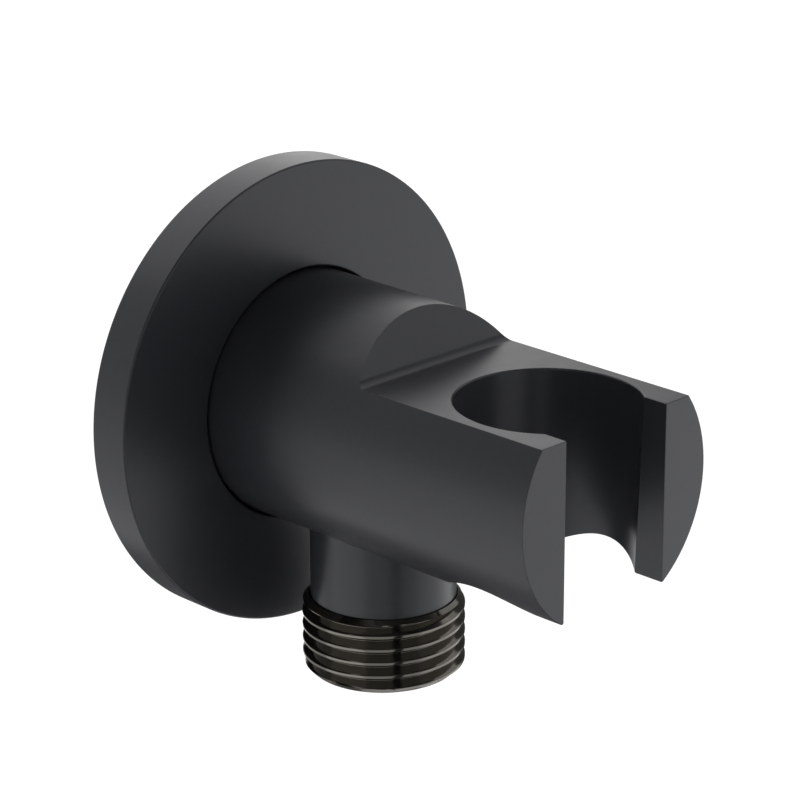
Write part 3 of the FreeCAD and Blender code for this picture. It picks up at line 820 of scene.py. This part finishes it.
class ELBOW_OT_seals(bpy.types.Operator):
    """Rubber rings, flat seals and the foam ring behind the rosette"""

    bl_idname = "elbow.seals"
    bl_label = "Rings and seals"

    def execute(self, context):
        for node in ("rosette_o_ring", "spigot_o_ring_rear", "spigot_o_ring_front", "nipple_seal",
                     "valve_o_ring"):
            dress(node, "black rubber", "root")
        dress("poppet_seal", "black rubber", "poppet")
        dress("rosette_seal", "foam ring", "root")
        return {"FINISHED"}


class ELBOW_OT_cartridge(bpy.types.Operator):
    """Non-return cartridge in the hose nipple: seat, housing, poppet and spring"""

    bl_idname = "elbow.cartridge"
    bl_label = "Non-return cartridge"

    def execute(self, context):
        dress("valve_seat", "white plastic", "root")
        dress("valve_housing", "white plastic", "root")
        dress("valve_poppet", "white plastic", "poppet")
        spring = dress("valve_spring", "stainless steel", "root", SPRING_CREASE)
        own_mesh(spring)
        return {"FINISHED"}


class ELBOW_OT_locking_screw(bpy.types.Operator):
    """Hexagon socket screw that locks the body on the wall nipple from below"""

    bl_idname = "elbow.locking_screw"
    bl_label = "Locking screw"

    def execute(self, context):
        dress("locking_screw", "stainless steel", "root")
        return {"FINISHED"}


class ELBOW_OT_stage(bpy.types.Operator):
    """Pale floor, soft studio light, white surroundings and the camera"""

    bl_idname = "elbow.stage"
    bl_label = "Stage"

    def execute(self, context):
        add_camera(context)
        add_world(context)
        add_floor()
        for softbox in SOFTBOXES:
            add_softbox(context, *softbox)
        for card in CARDS:
            add_card(*card)
        context.scene.view_settings.view_transform = "Standard"
        return {"FINISHED"}


class ELBOW_PT_panel(bpy.types.Panel):
    """Sizes, colours and the steps of the build"""

    bl_idname = "ELBOW_PT_panel"
    bl_label = "Wall Outlet Elbow"
    bl_space_type = "VIEW_3D"
    bl_region_type = "UI"
    bl_category = "Elbow"

    def draw(self, context):
        for group in (context.scene.elbow_sizes, context.scene.elbow_finish):
            column = self.layout.column(align=True)
            for prop in group.bl_rna.properties:
                if prop.identifier not in ("rna_type", "name"):
                    column.prop(group, prop.identifier)
        column = self.layout.column(align=True)
        for operator in OPERATORS:
            column.operator(operator.bl_idname)


OPERATORS = (ELBOW_OT_stage, ELBOW_OT_holder, ELBOW_OT_rosette, ELBOW_OT_hose_nipple, ELBOW_OT_wall_nipple,
             ELBOW_OT_seals, ELBOW_OT_cartridge, ELBOW_OT_locking_screw)
CLASSES = (ElbowSizes, ElbowFinish, *OPERATORS, ELBOW_PT_panel)


def register():
    for item in CLASSES:
        bpy.utils.register_class(item)
    bpy.types.Scene.elbow_sizes = bpy.props.PointerProperty(type=ElbowSizes)
    bpy.types.Scene.elbow_finish = bpy.props.PointerProperty(type=ElbowFinish)


def unregister():
    del bpy.types.Scene.elbow_finish
    del bpy.types.Scene.elbow_sizes
    for item in reversed(CLASSES):
        bpy.utils.unregister_class(item)


def main():
    register()
    bpy.ops.elbow.stage()
    bpy.ops.elbow.holder()
    bpy.ops.elbow.rosette()
    bpy.ops.elbow.hose_nipple()
    bpy.ops.elbow.wall_nipple()
    bpy.ops.elbow.seals()
    bpy.ops.elbow.cartridge()
    bpy.ops.elbow.locking_screw()


if __name__ == "__main__":
    main()
